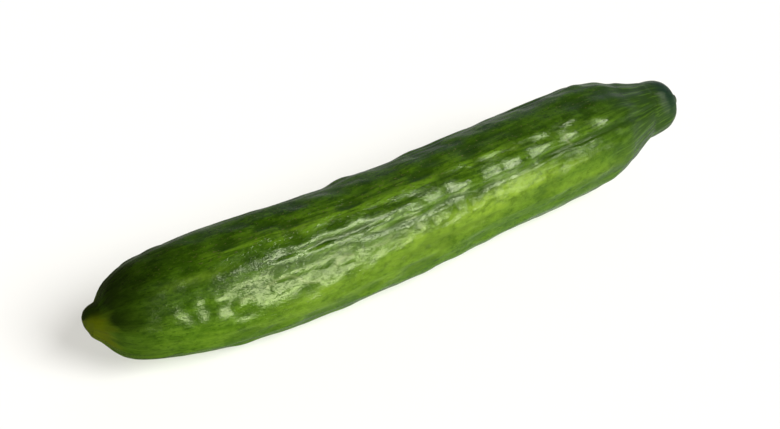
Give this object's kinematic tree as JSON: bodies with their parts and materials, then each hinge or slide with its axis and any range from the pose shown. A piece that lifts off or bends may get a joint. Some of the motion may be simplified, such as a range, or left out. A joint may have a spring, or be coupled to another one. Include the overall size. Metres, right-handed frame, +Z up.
{
  "type": "cucumber",
  "caption": "Whole long cucumber with a ribbed body, a narrowed neck, a rounded knob and a short stub of stalk at the stem end, and a pointed blossom end, lying on its belly.",
  "frame": {"origin": "bottom centre of the bounding box, on the surface that the cucumber lies on", "axes": "+X along the length towards the stem end, +Z up, -Y on the side where the body bulges out of its slight bend"},
  "size_m": [0.3046, 0.0568, 0.0508],
  "materials": {
    "skin": "waxy dark green skin with paler lengthwise streaks"
  },
  "bodies": {
    "root": {"cucumber": "skin"}
  },
  "joints": []
}
